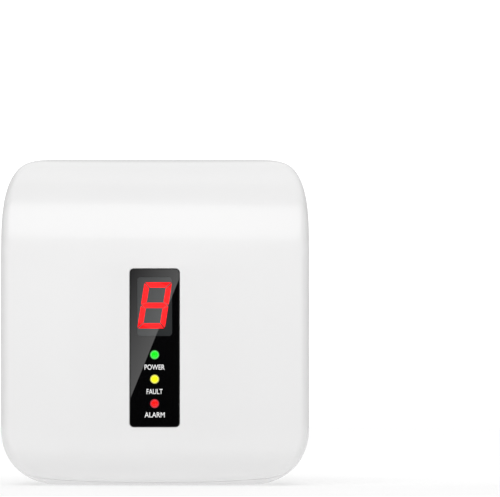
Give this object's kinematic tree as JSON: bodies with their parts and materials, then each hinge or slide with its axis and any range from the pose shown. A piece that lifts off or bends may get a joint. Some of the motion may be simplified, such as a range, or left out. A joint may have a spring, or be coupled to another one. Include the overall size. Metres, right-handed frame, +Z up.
{
  "type": "plug-in carbon monoxide detector",
  "caption": "Plug-in carbon monoxide detector: domed white casing with a black display window, rear plug block with two flat blades, side and rear air slots.",
  "frame": {"origin": "middle of the plug block's outer face, midway between the two mains blades", "axes": "+Z up, +X to the right as the display is read, +Y out of the rear along the blades"},
  "size_m": [0.0824, 0.0591, 0.0875],
  "materials": {
    "shell": "glossy near-white moulded ABS, faint mould texture on the rear",
    "blade_metal": "nickel-plated brass strip with a satin face",
    "blade_sleeve": "dark moulded insulation at the blade roots",
    "window": "gloss black acrylic",
    "display_body": "dark grey moulding",
    "digit_red": "lit red diffuser, slightly emissive",
    "lamp_green": "lit green lens, slightly emissive",
    "lamp_yellow": "lit yellow lens, slightly emissive",
    "lamp_red": "lit red lens, slightly emissive",
    "dark_moulding": "black epoxy and nylon mouldings",
    "board": "green solder mask on glass-filled board",
    "screw_steel": "zinc-plated steel",
    "pin_brass": "bright brass",
    "cell_steel": "drawn steel can",
    "ferrite": "dark ferrite",
    "winding_tape": "yellow tape and moulded box",
    "capacitor_sleeve": "dark shrink sleeve",
    "varistor_coat": "blue dipped coating",
    "wire_black": "black insulation",
    "wire_white": "white insulation"
  },
  "bodies": {
    "root": {"alarm_led": "lamp_red", "blade_sleeves": "blade_sleeve", "board_header": "dark_moulding", "board_screws": "screw_steel", "bridge_rectifier": "dark_moulding", "choke": "ferrite", "controller_chip": "dark_moulding", "digit_display": "display_body", "digit_segments": "digit_red", "display_board": "board", "display_pins": "pin_brass", "display_screws": "screw_steel", "fault_led": "lamp_yellow", "film_capacitor": "winding_tape", "front_cover": "shell", "fuse": "dark_moulding", "gas_sensor_can": "cell_steel", "gas_sensor_cap": "cell_steel", "gas_sensor_pins": "pin_brass", "header_pins": "pin_brass", "housing_screws": "screw_steel", "led_holder": "dark_moulding", "line_blade": "blade_metal", "live_wire": "wire_black", "main_board": "board", "mains_capacitor": "capacitor_sleeve", "neutral_blade": "blade_metal", "neutral_wire": "wire_white", "output_capacitor": "dark_moulding", "plug_plate": "shell", "power_led": "lamp_green", "rear_housing": "shell", "regulator": "dark_moulding", "side_vent_left": "shell", "side_vent_right": "shell", "sounder_case": "dark_moulding", "sounder_disc": "pin_brass", "transformer_core": "ferrite", "transformer_winding": "winding_tape", "varistor": "varistor_coat", "window_panel": "window"}
  },
  "joints": []
}
